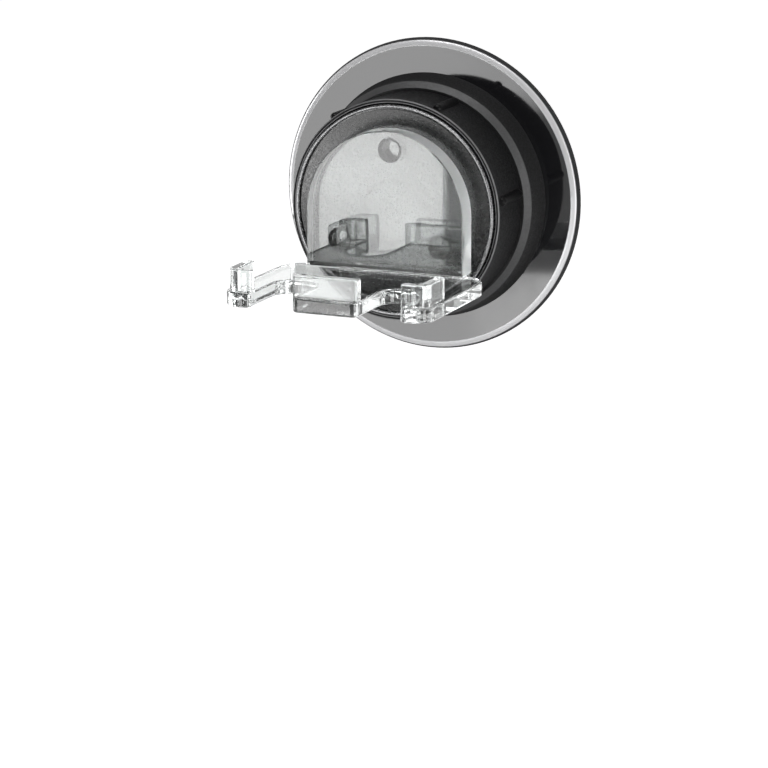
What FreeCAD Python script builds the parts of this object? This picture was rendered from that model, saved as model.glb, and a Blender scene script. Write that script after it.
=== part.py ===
import FreeCAD, Part
import Sketcher
import math
import os
from types import SimpleNamespace

# Toothbrush holder on a twist-lock suction base.
# Every piece is modelled lying on the wall: X to the right, Y up and Z out of the wall, with the
# wall at Z zero and the base's axis on Z. Its Placement then stands it up, so that +Z is up.

# Driving dimensions, in millimetres and degrees. They go into the sheet, and nothing else is typed.
SIZES = {
    # Turning the ring from locked to released, and the way the post then drops towards the wall
    "lock_turn": 120.0,
    "lift_travel": 2.5,
    # Clearances: a push fit, a running fit, and room for parts that pass each other
    "push_fit": 0.05,
    "running_fit": 0.05,
    "pass_gap": 0.4,
    "cut_overrun": 1.0,
    # Suction pad
    "pad_radius": 35.4,
    "pad_rim": 1.4,
    "pad_skin": 0.9,
    "pad_release_gap": 0.1,
    "pad_foot_gap": 1.0,
    "pad_crown_margin": 2.0,
    "pad_headroom": 0.6,
    # Post moulded into the pad
    "flange_radius": 13.0,
    "flange_thickness": 1.2,
    "key_width": 3.0,
    "key_height": 1.5,
    "thread_radius": 8.0,
    "guide_step": 1.5,
    "tenon_width": 8.0,
    "tenon_height": 6.0,
    "tenon_shy": 0.2,
    # Pressure disc
    "disc_radius": 36.0,
    "disc_wall": 2.0,
    "disc_edge_round": 1.7,
    "disc_edge_land": 0.1,
    "disc_back_round": 0.2,
    "disc_land": 4.6,
    "disc_relief": 0.3,
    "collar_wall": 3.2,
    "collar_rise": 2.6,
    "stop_tooth_angle": 16.0,
    "stop_tooth_rise": 1.5,
    "stop_tooth_inset": 0.6,
    "stop_play_angle": 2.0,
    # Base ring and the screws that hold it
    "base_wall": 2.75,
    "base_draft": 1.2,
    "base_shoulder_round": 0.5,
    "base_bevel_height": 1.2,
    "base_flange": 2.0,
    "base_lip": 0.9,
    "sleeve_wall": 4.7,
    "sleeve_rise": 1.8,
    "ring_screw_count": 3,
    "ring_screw_edge": 1.9,
    "ring_screw_radius": 1.1,
    "ring_screw_head_radius": 1.9,
    "ring_screw_head_height": 1.2,
    "ring_screw_head_room": 0.6,
    "ring_screw_cover": 1.0,
    "screw_point": 0.8,
    "cross_depth": 0.7,
    "cross_width": 0.6,
    # Slip washer
    "washer_width": 2.0,
    "washer_thickness": 0.6,
    "washer_gap": 0.1,
    "washer_sink": 0.5,
    "washer_play": 0.03,
    # Twist ring
    "ring_wall": 2.45,
    "ring_lip": 0.8,
    "ring_edge_round": 0.25,
    "web_thickness": 1.6,
    "rib_count": 6,
    "rib_first_angle": 8.0,
    "rib_radius": 1.1,
    "rib_start": 0.5,
    "rib_stop": 1.2,
    # Drive nut
    "nut_wall": 1.0,
    "nut_overhang": 1.4,
    "nut_flange": 1.2,
    "nut_room": 2.15,
    # Front cover
    "cover_gap": 0.35,
    "cover_wall": 1.6,
    "bead_proud": 0.8,
    "bead_width": 0.8,
    "bead_rise": 0.5,
    "bead_round": 0.3,
    "bead_groove_width": 0.3,
    "bead_groove_depth": 0.4,
    "dish_depth": 1.8,
    "hub_room": 0.55,
    "hub_floor": 1.4,
    "hub_wall": 1.8,
    "socket_wall": 1.8,
    "socket_floor": 1.2,
    "land_margin": 0.4,
    "land_rise": 1.5,
    # Centre screw, its washer and the cap over them
    "cap_radius": 7.15,
    "cap_thickness": 0.9,
    "cap_edge_round": 0.3,
    "screw_washer_gap": 1.2,
    "screw_washer_thickness": 0.5,
    "centre_screw_radius": 1.75,
    "centre_screw_head_radius": 3.6,
    "centre_screw_head_height": 1.4,
    "centre_screw_reach": 11.0,
    # Clear rack
    "plate_standoff": 0.15,
    "plate_thickness": 5.1,
    "plate_margin": 2.0,
    "plate_arch_drop": 0.1,
    "plate_bevel": 0.25,
    "peg_count": 3,
    "peg_circle": 14.0,
    "peg_radius": 2.8,
    "peg_shoulder": 0.8,
    "spigot_length": 3.2,
    "tray_drop": 12.7,
    "tray_thickness": 3.3,
    "tray_back_step": 2.65,
    "tray_reach": 38.15,
    "tray_overhang": 0.35,
    "tray_corner": 4.0,
    "tray_edge_round": 0.5,
    "root_round": 1.0,
    "slot_width": 9.9,
    "finger_width": 6.7,
    "slot_depth": 18.0,
    "slot_lead_round": 1.6,
    "lip_height": 4.9,
    "lip_thickness": 2.2,
    "lip_setback": 0.7,
    "lip_reach": 11.0,
    "lip_corner_round": 0.8,
    "lip_top_round": 0.5,
}

FULL_TURN = 360
HALF_SHARE = 0.5
HEX_CORNER_SHARES = [(math.cos(k * math.pi / 3), math.sin(k * math.pi / 3)) for k in range(6)]
HEX_POINT_SHARE = 1 / math.cos(math.pi / 6)
UPRIGHT_ANGLE = 90
TOUCH = 1e-4
COUNTER_CLOCKWISE = 1
CLOCKWISE = -1
FRONT_CORNERS = {"high_left", "high_right"}
BACK_CORNERS = {"low_left", "low_right"}
OUT_OF_WALL = FreeCAD.Vector(0, 0, 1)
AGAINST_WALL = FreeCAD.Placement(FreeCAD.Vector(), FreeCAD.Rotation(FreeCAD.Vector(1, 0, 0), UPRIGHT_ANGLE))


class Size:
    """A size that keeps its number and the formula of sheet cells that gives it."""

    def __init__(self, formula, number):
        self.formula = formula
        self.number = number

    def __add__(self, other):
        return Size(f"({self.formula} + {other.formula})", self.number + other.number)

    def __sub__(self, other):
        return Size(f"({self.formula} - {other.formula})", self.number - other.number)

    def __neg__(self):
        return Size(f"(-{self.formula})", -self.number)

    def __mul__(self, share):
        return Size(f"({self.formula} * ({share!r}))", self.number * share)


def size_sheet(document):
    """Write the driving dimensions to a sheet and return them as sizes by name."""
    sheet = document.addObject("Spreadsheet::Sheet", "sizes")
    found = {}
    for row, (name, number) in enumerate(SIZES.items(), 1):
        sheet.set(f"A{row}", name)
        sheet.set(f"B{row}", str(number))
        sheet.setAlias(f"B{row}", name)
        found[name] = Size(f"sizes.{name}", number)
    document.recompute()
    return SimpleNamespace(**found)


doc = FreeCAD.newDocument("toothbrush_holder")
s = size_sheet(doc)
NONE = Size("0", 0)
UPRIGHT = Size(str(UPRIGHT_ANGLE), UPRIGHT_ANGLE)


# Distances from the wall, stacked outwards piece by piece
pad_under = s.lift_travel + s.pad_release_gap
flange_low = pad_under + s.pad_skin
flange_top = flange_low + s.flange_thickness
pad_crown = flange_top + s.pad_skin
disc_face = s.pad_rim + s.disc_back_round + s.disc_edge_land + s.disc_edge_round
disc_ceiling = pad_crown + s.pad_headroom
boss_top = disc_ceiling + s.disc_wall
ring_screw_seat = disc_ceiling + s.ring_screw_head_height
collar_top = boss_top + s.collar_rise
base_top = boss_top + s.base_flange
washer_seat = base_top - s.washer_sink
washer_top = washer_seat + s.washer_thickness
sleeve_top = base_top + s.sleeve_rise
ring_screw_tip = sleeve_top - s.ring_screw_cover
ring_rear = washer_top + s.washer_play
web_rear = sleeve_top + s.pass_gap
web_front = web_rear + s.web_thickness
nut_rear = collar_top + s.pass_gap
nut_front = web_front + s.nut_flange
hub_rear = nut_front + s.lift_travel + s.hub_room
hub_inside = hub_rear + s.hub_floor
screw_seat = hub_inside + s.screw_washer_thickness
cap_seat = screw_seat + s.centre_screw_head_height
dish_centre = cap_seat + s.cap_thickness
dish_edge = dish_centre + s.dish_depth
bead_front = dish_edge + s.bead_rise
ring_front = bead_front - s.bead_proud
cover_rear = dish_edge - s.cover_wall
mouth_floor = cover_rear - s.lift_travel - s.pass_gap
land_top = dish_centre + s.land_rise
socket_bottom = land_top - s.spigot_length - s.push_fit
socket_rear = socket_bottom - s.socket_floor
plate_back = bead_front + s.plate_standoff
plate_front = plate_back + s.plate_thickness
tray_front = plate_back + s.tray_reach

# Radii that two pieces share, from the thread outwards, and the pegs' own
guide_radius = s.thread_radius + s.guide_step
key_radius = guide_radius + s.key_height
collar_bore = guide_radius + s.running_fit
collar_radius = collar_bore + s.collar_wall
tooth_inner = collar_bore + s.stop_tooth_inset
tooth_outer = collar_radius - s.stop_tooth_inset
nut_corner_radius = (tooth_outer + s.pass_gap + s.nut_wall) * HEX_POINT_SHARE
nut_flange_radius = nut_corner_radius + s.nut_overhang
sleeve_bore = nut_corner_radius + s.nut_room
sleeve_radius = sleeve_bore + s.sleeve_wall
washer_bore = sleeve_radius + s.washer_gap
washer_radius = washer_bore + s.washer_width
washer_pocket = washer_radius + s.washer_gap
base_bevel_radius = washer_pocket + s.base_lip
ring_screw_circle = sleeve_bore + s.ring_screw_edge
cavity_radius = ring_screw_circle + s.ring_screw_head_radius + s.ring_screw_head_room
boss_radius = cavity_radius + s.disc_wall
boss_seat = boss_radius + s.push_fit
base_shoulder_radius = boss_seat + s.base_wall
base_foot_radius = base_shoulder_radius + s.base_draft
disc_land_inner = s.disc_radius - s.disc_land
pad_foot_radius = cavity_radius - s.pad_foot_gap
pad_crown_radius = s.flange_radius + s.pad_crown_margin
ring_bore = sleeve_radius + s.running_fit
ring_radius = ring_bore + s.ring_wall
mouth_radius = ring_radius - s.ring_lip
cover_radius = mouth_radius - s.cover_gap
bead_inner = cover_radius - s.bead_width
dish_radius = bead_inner - s.bead_groove_width
recess_radius = s.cap_radius + s.push_fit
hub_radius = recess_radius + s.hub_wall
screw_washer_radius = recess_radius - s.screw_washer_gap
spigot_radius = s.peg_radius - s.peg_shoulder
socket_radius = spigot_radius + s.push_fit
socket_boss_radius = socket_radius + s.socket_wall
land_radius = s.peg_radius + s.land_margin
plate_radius = s.peg_circle + s.peg_radius + s.plate_margin
tray_half_width = cover_radius + s.tray_overhang
slot_outer = tray_half_width - s.finger_width
slot_inner = slot_outer - s.slot_width


def new_body(label):
    """An empty piece with its own name, stood against the wall."""
    body = doc.addObject("PartDesign::Body", label)
    body.Label = label
    body.Placement = AGAINST_WALL
    return body


def origin_feature(body, role):
    return next(feature for feature in body.Origin.OriginFeatures if feature.Role == role)


def new_sketch(body, role, name, offset=NONE, turn=NONE):
    """A sketch on one of the body's own planes, moved along its normal and turned about the axis."""
    sketch = body.newObject("Sketcher::SketchObject", name)
    sketch.AttachmentSupport = [(origin_feature(body, role), "")]
    sketch.MapMode = "FlatFace"
    if turn.number:
        about_axis = FreeCAD.Rotation(FreeCAD.Vector(0, 1, 0), turn.number)
        sketch.AttachmentOffset = FreeCAD.Placement(FreeCAD.Vector(), about_axis)
        sketch.setExpression("AttachmentOffset.Rotation.Angle", turn.formula)
    if offset.number:
        sketch.setExpression("AttachmentOffset.Base.z", offset.formula)
    return sketch


def hold(sketch, kind, geometry, point, size):
    """Hold one coordinate of a point of the sketch at a size, or on the axis where it is zero."""
    if size.number == 0:
        axis = -2 if kind == "DistanceX" else -1
        sketch.addConstraint(Sketcher.Constraint("PointOnObject", geometry, point, axis))
        return
    index = sketch.addConstraint(Sketcher.Constraint(kind, -1, 1, geometry, point, size.number))
    sketch.setExpression(f"Constraints[{index}]", size.formula)


def arc_between(first, last, held, way):
    """An arc of a sketch whose centre has one held coordinate: y on a level chord, otherwise x."""
    if abs(first.y - last.y) < TOUCH:
        centre = FreeCAD.Vector((first.x + last.x) * HALF_SHARE, held, 0)
    else:
        gap = (first.x - held) ** 2 - (last.x - held) ** 2 + first.y ** 2 - last.y ** 2
        centre = FreeCAD.Vector(held, gap * HALF_SHARE / (first.y - last.y), 0)
    start, end = (first, last) if way == COUNTER_CLOCKWISE else (last, first)
    start_angle = math.atan2(start.y - centre.y, start.x - centre.x)
    end_angle = math.atan2(end.y - centre.y, end.x - centre.x)
    if end_angle <= start_angle:
        end_angle += 2 * math.pi
    circle = Part.Circle(centre, OUT_OF_WALL, start.distanceToPoint(centre))
    return Part.ArcOfCircle(circle, start_angle, end_angle)


def draw_outline(sketch, corners, arcs=None):
    """Close a line through the corners. arcs gives, by the edge that starts at a corner's number,
    the held coordinate of its centre and the way it turns."""
    arcs = arcs or {}
    points = [FreeCAD.Vector(x.number, y.number, 0) for x, y in corners]
    count = len(points)
    first_end = []
    for index in range(count):
        first, last = points[index], points[(index + 1) % count]
        if index in arcs:
            held, way = arcs[index]
            sketch.addGeometry(arc_between(first, last, held.number, way))
            first_end.append(1 if way == COUNTER_CLOCKWISE else 2)
        else:
            sketch.addGeometry(Part.LineSegment(first, last))
            first_end.append(1)
    for index in range(count):
        following = (index + 1) % count
        last_end = 3 - first_end[index]
        sketch.addConstraint(
            Sketcher.Constraint("Coincident", index, last_end, following, first_end[following]))
    for index, (x, y) in enumerate(corners):
        hold(sketch, "DistanceX", index, first_end[index], x)
        hold(sketch, "DistanceY", index, first_end[index], y)
    for index, (held, way) in arcs.items():
        level = abs(points[index].y - points[(index + 1) % count].y) < TOUCH
        hold(sketch, "DistanceY" if level else "DistanceX", index, 3, held)


def draw_circle(sketch, x, y, radius):
    circle = Part.Circle(FreeCAD.Vector(x.number, y.number, 0), OUT_OF_WALL, radius.number)
    index = sketch.addGeometry(circle)
    hold(sketch, "DistanceX", index, 3, x)
    hold(sketch, "DistanceY", index, 3, y)
    held = sketch.addConstraint(Sketcher.Constraint("Radius", index, radius.number))
    sketch.setExpression(f"Constraints[{held}]", radius.formula)


def box_corners(left, right, low, high):
    return [(left, low), (right, low), (right, high), (left, high)]


def rounded_box(left, right, low, high, rounds):
    """The corners and arcs of a box, given the radius of each corner that is rounded."""
    corners = []
    arcs = {}
    for name, x, y, upright_first in (
            ("low_left", left, low, True),
            ("low_right", right, low, False),
            ("high_right", right, high, True),
            ("high_left", left, high, False)):
        if name not in rounds:
            corners.append((x, y))
            continue
        radius = rounds[name]
        inwards = radius if x is left else -radius
        upwards = radius if y is low else -radius
        ends = [(x, y + upwards), (x + inwards, y)]
        arcs[len(corners)] = (x + inwards, COUNTER_CLOCKWISE)
        corners += ends if upright_first else reversed(ends)
    return corners, arcs


def turned(body, name, corners, arcs=None, kind="PartDesign::Revolution", angle=None, start=NONE):
    """Turn an outline of radius and distance from the wall about the base's axis."""
    sketch = new_sketch(body, "XZ_Plane", name + "_outline", turn=start)
    draw_outline(sketch, corners, arcs)
    feature = body.newObject(kind, name)
    feature.Profile = sketch
    feature.ReferenceAxis = (sketch, ["V_Axis"])
    feature.Angle = FULL_TURN
    if angle is not None:
        feature.setExpression("Angle", angle.formula)
    doc.recompute()
    return feature


def extruded(body, name, sketch, length, kind="PartDesign::Pad", reverse=False):
    feature = body.newObject(kind, name)
    feature.Profile = sketch
    feature.Reversed = reverse
    feature.setExpression("Length", length.formula)
    doc.recompute()
    return feature


def raised(body, name, corners, low, high, arcs=None):
    """Raise an outline that faces out of the wall from one distance to another."""
    sketch = new_sketch(body, "XY_Plane", name + "_outline", offset=low)
    draw_outline(sketch, corners, arcs)
    return extruded(body, name, sketch, high - low)


def raised_round(body, name, x, y, radius, low, high):
    sketch = new_sketch(body, "XY_Plane", name + "_outline", offset=low)
    draw_circle(sketch, x, y, radius)
    return extruded(body, name, sketch, high - low)


def cut(body, name, corners, low, high):
    """Cut an outline that faces out of the wall from one distance to another."""
    sketch = new_sketch(body, "XY_Plane", name + "_outline", offset=low)
    draw_outline(sketch, corners)
    return extruded(body, name, sketch, high - low, "PartDesign::Pocket", reverse=True)


def bored(body, name, x, y, radius, low, high):
    sketch = new_sketch(body, "XY_Plane", name + "_outline", offset=low)
    draw_circle(sketch, x, y, radius)
    return extruded(body, name, sketch, high - low, "PartDesign::Pocket", reverse=True)


def ringed(body, name, features, count):
    """Repeat features evenly about the base's axis."""
    pattern = body.newObject("PartDesign::PolarPattern", name)
    pattern.Originals = features
    pattern.Axis = (origin_feature(body, "Z_Axis"), [""])
    pattern.Angle = FULL_TURN
    pattern.setExpression("Occurrences", count.formula)
    body.Tip = pattern
    doc.recompute()
    return pattern


def mirrored(body, name, features):
    """Repeat features on the other side of the middle plane."""
    pattern = body.newObject("PartDesign::Mirrored", name)
    pattern.Originals = features
    pattern.MirrorPlane = (origin_feature(body, "YZ_Plane"), [""])
    body.Tip = pattern
    doc.recompute()
    return pattern


def eased(body, name, edges, radius, kind="PartDesign::Fillet"):
    """Round or bevel the named edges of the body's last feature."""
    if not edges:
        raise RuntimeError(f"{name} finds no edge")
    feature = body.newObject(kind, name)
    feature.Base = (feature.BaseFeature, edges)
    feature.setExpression("Radius" if kind == "PartDesign::Fillet" else "Size", radius.formula)
    doc.recompute()
    return feature


def edges_where(feature, test):
    return [f"Edge{index}" for index, edge in enumerate(feature.Shape.Edges, 1) if test(edge)]


def round_edges(feature, radius, distance):
    """Edges that go round the axis at this radius and distance from the wall."""
    def fits(edge):
        if edge.Degenerated or not isinstance(edge.Curve, Part.Circle):
            return False
        on_radius = abs(edge.Curve.Radius - radius.number) < TOUCH
        return on_radius and abs(edge.Curve.Center.z - distance.number) < TOUCH
    return edges_where(feature, fits)


def edge_box(edge):
    box = edge.BoundBox
    return (box.XMin, box.XMax, box.YMin, box.YMax, box.ZMin, box.ZMax)


def upright_edges(feature, sides, distance, low, high):
    """Edges along Y, at these places to the left and right, that lie between two heights."""
    def fits(edge):
        left, right, bottom, top, near, far = edge_box(edge)
        is_upright = right - left < TOUCH and far - near < TOUCH
        at_side = any(abs(abs(left) - side.number) < TOUCH for side in sides)
        at_height = bottom > low.number - TOUCH and top < high.number + TOUCH
        return is_upright and at_side and at_height and abs(near - distance.number) < TOUCH
    return edges_where(feature, fits)


def level_edges(feature, height, nearest, farthest):
    """Edges in one level plane, between two distances from the wall."""
    def fits(edge):
        left, right, bottom, top, near, far = edge_box(edge)
        is_level = abs(bottom - height.number) < TOUCH and abs(top - height.number) < TOUCH
        return is_level and near > nearest.number - TOUCH and far < farthest.number + TOUCH
    return edges_where(feature, fits)


def cross_recess(body, name, x, size, seat):
    """A cross for the driver, cut into the end of a screw whose head faces the seat's side."""
    low, high = seat
    half_width = s.cross_width * HALF_SHARE
    bars = []
    for label, across, along in (("wide", size, half_width), ("tall", half_width, size)):
        corners = box_corners(x - across, x + across, -along, along)
        bars.append(cut(body, f"{name}_{label}", corners, low, high))
    return bars


def suction_pad():
    body = new_body("suction_pad")
    turned(body, "pad_disc", [
        (NONE, pad_under),
        (pad_crown_radius, pad_under),
        (pad_foot_radius, NONE),
        (s.pad_radius, NONE),
        (s.pad_radius, s.pad_rim),
        (pad_foot_radius, s.pad_rim),
        (pad_crown_radius, pad_crown),
        (NONE, pad_crown),
    ])
    above = pad_crown + s.cut_overrun
    flange_seat = s.flange_radius + s.push_fit
    guide_seat = guide_radius + s.push_fit
    turned(body, "post_seat", [
        (NONE, flange_low),
        (flange_seat, flange_low),
        (flange_seat, flange_top),
        (guide_seat, flange_top),
        (guide_seat, above),
        (NONE, above),
    ], kind="PartDesign::Groove")
    return body


def pad_post():
    body = new_body("pad_post")
    turned(body, "post", [
        (NONE, flange_low),
        (s.flange_radius, flange_low),
        (s.flange_radius, flange_top),
        (guide_radius, flange_top),
        (guide_radius, collar_top),
        (s.thread_radius, collar_top),
        (s.thread_radius, hub_rear),
        (NONE, hub_rear),
    ])
    half_key = s.key_width * HALF_SHARE
    raised(body, "keys", box_corners(-key_radius, key_radius, -half_key, half_key),
           pad_crown + s.pass_gap, collar_top)
    half_width = s.tenon_width * HALF_SHARE
    half_height = s.tenon_height * HALF_SHARE
    raised(body, "tenon", box_corners(-half_width, half_width, -half_height, half_height),
           hub_rear, hub_inside - s.tenon_shy)
    hole_end = screw_seat - s.centre_screw_reach - s.pass_gap
    bored(body, "screw_hole", NONE, NONE, s.centre_screw_radius + s.push_fit, hole_end, hub_inside)
    return body


def pressure_disc():
    body = new_body("pressure_disc")
    relief = s.pad_rim + s.disc_relief
    disc = turned(body, "disc", [
        (collar_bore, disc_ceiling),
        (cavity_radius, disc_ceiling),
        (cavity_radius, relief),
        (disc_land_inner, relief),
        (disc_land_inner, s.pad_rim),
        (s.disc_radius, s.pad_rim),
        (s.disc_radius, disc_face),
        (boss_radius, disc_face),
        (boss_radius, boss_top),
        (collar_radius, boss_top),
        (collar_radius, collar_top),
        (collar_bore, collar_top),
    ])
    rim = eased(body, "rim_round", round_edges(disc, s.disc_radius, disc_face), s.disc_edge_round)
    eased(body, "rim_back_round", round_edges(rim, s.disc_radius, s.pad_rim), s.disc_back_round)
    half_slot = s.key_width * HALF_SHARE + s.running_fit
    slot_end = key_radius + s.pass_gap
    cut(body, "keyways", box_corners(-slot_end, slot_end, -half_slot, half_slot),
        disc_ceiling - s.cut_overrun, collar_top + s.cut_overrun)
    inside = disc_ceiling - s.cut_overrun
    hole = bored(body, "screw_hole", ring_screw_circle, NONE, s.ring_screw_radius + s.push_fit,
                 inside, boss_top + s.cut_overrun)
    head_hole = bored(body, "head_hole", ring_screw_circle, NONE, s.ring_screw_head_radius + s.pass_gap,
                      inside, ring_screw_seat)
    ringed(body, "screw_holes", [hole, head_hole], s.ring_screw_count)
    turned(body, "stop_tooth",
           box_corners(tooth_inner, tooth_outer, boss_top, collar_top + s.stop_tooth_rise),
           angle=s.stop_tooth_angle, start=UPRIGHT - s.stop_tooth_angle * HALF_SHARE)
    return body


def base_ring():
    body = new_body("base_ring")
    shoulder = base_top - s.base_bevel_height
    ring = turned(body, "ring", [
        (sleeve_bore, boss_top),
        (boss_seat, boss_top),
        (boss_seat, disc_face),
        (base_foot_radius, disc_face),
        (base_shoulder_radius, shoulder),
        (base_bevel_radius, base_top),
        (washer_pocket, base_top),
        (washer_pocket, washer_seat),
        (sleeve_radius, washer_seat),
        (sleeve_radius, sleeve_top),
        (sleeve_bore, sleeve_top),
    ])
    eased(body, "shoulder_round", round_edges(ring, base_shoulder_radius, shoulder),
          s.base_shoulder_round)
    hole = bored(body, "screw_hole", ring_screw_circle, NONE, s.ring_screw_radius + s.push_fit,
                 boss_top - s.cut_overrun, ring_screw_tip + s.pass_gap)
    ringed(body, "screw_holes", [hole], s.ring_screw_count)
    return body


def ring_screws():
    body = new_body("ring_screws")
    body.AllowCompound = True
    axis = ring_screw_circle
    sketch = new_sketch(body, "XZ_Plane", "screw_outline")
    draw_outline(sketch, [
        (axis, disc_ceiling),
        (axis + s.ring_screw_head_radius, disc_ceiling),
        (axis + s.ring_screw_head_radius, ring_screw_seat),
        (axis + s.ring_screw_radius, ring_screw_seat),
        (axis + s.ring_screw_radius, ring_screw_tip - s.screw_point),
        (axis, ring_screw_tip),
    ])
    screw = body.newObject("PartDesign::Revolution", "screw")
    screw.Profile = sketch
    screw.ReferenceAxis = (sketch, ["Edge6"])
    screw.Angle = FULL_TURN
    doc.recompute()
    cross = cross_recess(body, "cross", axis, s.ring_screw_radius,
                         (disc_ceiling - s.cut_overrun, disc_ceiling + s.cross_depth))
    ringed(body, "screws", [screw] + cross, s.ring_screw_count)
    return body


def slip_washer():
    body = new_body("slip_washer")
    turned(body, "washer", box_corners(washer_bore, washer_radius, washer_seat, washer_top))
    return body


def twist_ring():
    body = new_body("twist_ring")
    ring = turned(body, "ring", [
        (NONE, web_rear),
        (ring_bore, web_rear),
        (ring_bore, ring_rear),
        (ring_radius, ring_rear),
        (ring_radius, ring_front),
        (ring_bore, ring_front),
        (ring_bore, web_front),
        (NONE, web_front),
    ])
    eased(body, "front_round", round_edges(ring, ring_radius, ring_front), s.ring_edge_round)
    cut(body, "nut_seat", hexagon(nut_corner_radius + s.push_fit),
        web_rear - s.cut_overrun, web_front + s.cut_overrun)
    rib_low = ring_rear + s.rib_start
    rib_high = ring_front - s.rib_stop
    middle = ring_radius
    side = middle + s.rib_radius
    sketch = new_sketch(body, "XZ_Plane", "rib_outline", turn=s.rib_first_angle)
    draw_outline(sketch, [
        (middle, rib_low),
        (side, rib_low + s.rib_radius),
        (side, rib_high - s.rib_radius),
        (middle, rib_high),
    ], arcs={0: (middle, COUNTER_CLOCKWISE), 2: (middle, COUNTER_CLOCKWISE)})
    rib = body.newObject("PartDesign::Revolution", "grip_rib")
    rib.Profile = sketch
    rib.ReferenceAxis = (sketch, ["Edge4"])
    rib.Angle = FULL_TURN
    doc.recompute()
    ringed(body, "grip_ribs", [rib], s.rib_count)
    bored(body, "mouth", NONE, NONE, mouth_radius, mouth_floor, ring_front + s.cut_overrun)
    return body


def hexagon(corner_radius):
    return [(corner_radius * x, corner_radius * y) for x, y in HEX_CORNER_SHARES]


def drive_nut():
    body = new_body("drive_nut")
    raised(body, "hexagon", hexagon(nut_corner_radius), nut_rear, web_front)
    raised_round(body, "flange", NONE, NONE, nut_flange_radius, web_front, nut_front)
    bored(body, "thread", NONE, NONE, s.thread_radius + s.running_fit,
          nut_rear - s.cut_overrun, nut_front + s.cut_overrun)
    room = s.pass_gap
    end_angle = s.stop_tooth_angle * HALF_SHARE + s.stop_play_angle
    turned(body, "stop_slot",
           box_corners(tooth_inner - room, tooth_outer + room,
                       nut_rear - s.cut_overrun, collar_top + s.stop_tooth_rise + room),
           kind="PartDesign::Groove", angle=s.lock_turn + end_angle + end_angle,
           start=UPRIGHT - s.lock_turn - end_angle)
    return body


def peg_places(body, name, build):
    """Build something at the top peg's place, then repeat it at the other pegs."""
    features = build(NONE, s.peg_circle)
    return ringed(body, name, features, s.peg_count)


def front_cover():
    body = new_body("front_cover")
    groove_floor = dish_edge - s.bead_groove_depth
    shell = turned(body, "dish", [
        (NONE, dish_centre - s.cover_wall),
        (dish_radius, cover_rear),
        (cover_radius, cover_rear),
        (cover_radius, bead_front),
        (bead_inner, bead_front),
        (bead_inner, groove_floor),
        (dish_radius, groove_floor),
        (dish_radius, dish_edge),
        (NONE, dish_centre),
    ], arcs={0: (NONE, COUNTER_CLOCKWISE), 7: (NONE, CLOCKWISE)})
    bead_edges = round_edges(shell, cover_radius, bead_front) + round_edges(shell, bead_inner, bead_front)
    eased(body, "bead_round", bead_edges, s.bead_round)
    raised_round(body, "hub", NONE, NONE, hub_radius, hub_rear, dish_centre)
    peg_places(body, "sockets", lambda x, y: [
        raised_round(body, "socket", x, y, socket_boss_radius, socket_rear, dish_centre),
        raised_round(body, "land", x, y, land_radius, dish_centre, land_top),
    ])
    peg_places(body, "socket_holes", lambda x, y: [
        bored(body, "socket_hole", x, y, socket_radius, socket_bottom, land_top + s.cut_overrun),
    ])
    bored(body, "cap_recess", NONE, NONE, recess_radius, hub_inside, dish_edge)
    half_width = s.tenon_width * HALF_SHARE + s.push_fit
    half_height = s.tenon_height * HALF_SHARE + s.push_fit
    cut(body, "tenon_hole", box_corners(-half_width, half_width, -half_height, half_height),
        hub_rear - s.cut_overrun, hub_inside + s.cut_overrun)
    return body


def screw_washer():
    body = new_body("screw_washer")
    turned(body, "washer", box_corners(
        s.centre_screw_radius + s.washer_gap, screw_washer_radius, hub_inside, screw_seat))
    return body


def centre_screw():
    body = new_body("centre_screw")
    tip = screw_seat - s.centre_screw_reach
    turned(body, "screw", [
        (NONE, tip),
        (s.centre_screw_radius, tip + s.screw_point),
        (s.centre_screw_radius, screw_seat),
        (s.centre_screw_head_radius, screw_seat),
        (s.centre_screw_head_radius, cap_seat),
        (NONE, cap_seat),
    ])
    cross_recess(body, "cross", NONE, s.centre_screw_radius, (cap_seat - s.cross_depth, dish_centre))
    return body


def screw_cap():
    body = new_body("screw_cap")
    cap = turned(body, "cap", [
        (NONE, cap_seat),
        (s.cap_radius, cap_seat),
        (s.cap_radius, dish_centre),
        (NONE, dish_centre),
    ])
    eased(body, "edge_round", round_edges(cap, s.cap_radius, dish_centre), s.cap_edge_round)
    return body


def toothbrush_rack():
    body = new_body("toothbrush_rack")
    tray_low = -(s.tray_drop + s.tray_thickness)
    plate_low = -(s.tray_drop + s.tray_thickness * HALF_SHARE)
    arch = -s.plate_arch_drop
    plate = raised(body, "plate", [
        (-plate_radius, plate_low),
        (plate_radius, plate_low),
        (plate_radius, arch),
        (-plate_radius, arch),
    ], plate_back, plate_front, arcs={2: (arch, COUNTER_CLOCKWISE)})
    arch_edges = edges_where(plate, lambda edge: isinstance(edge.Curve, Part.Circle)
                             and abs(edge.Curve.Center.z - plate_front.number) < TOUCH)
    eased(body, "plate_bevel", arch_edges, s.plate_bevel, "PartDesign::Chamfer")
    tray_sketch = new_sketch(body, "XZ_Plane", "tray_outline", offset=s.tray_drop)
    beside_plate = tray_half_width - plate_radius
    tray_rounds = dict.fromkeys(FRONT_CORNERS, s.tray_corner) | dict.fromkeys(BACK_CORNERS, beside_plate)
    draw_outline(tray_sketch, *rounded_box(
        -tray_half_width, tray_half_width, plate_back + s.tray_back_step, tray_front, tray_rounds))
    tray = extruded(body, "tray", tray_sketch, s.tray_thickness)
    tray_top = -s.tray_drop
    eased(body, "tray_root", level_edges(tray, tray_top, plate_front, plate_front), s.root_round)
    rack_slots(body, tray_low, tray_top)
    rack_lips(body, tray_top)
    peg_places(body, "pegs", lambda x, y: [
        raised_round(body, "peg", x, y, s.peg_radius, land_top, plate_back),
        raised_round(body, "spigot", x, y, spigot_radius, land_top - s.spigot_length, land_top),
    ])
    return body


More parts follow.
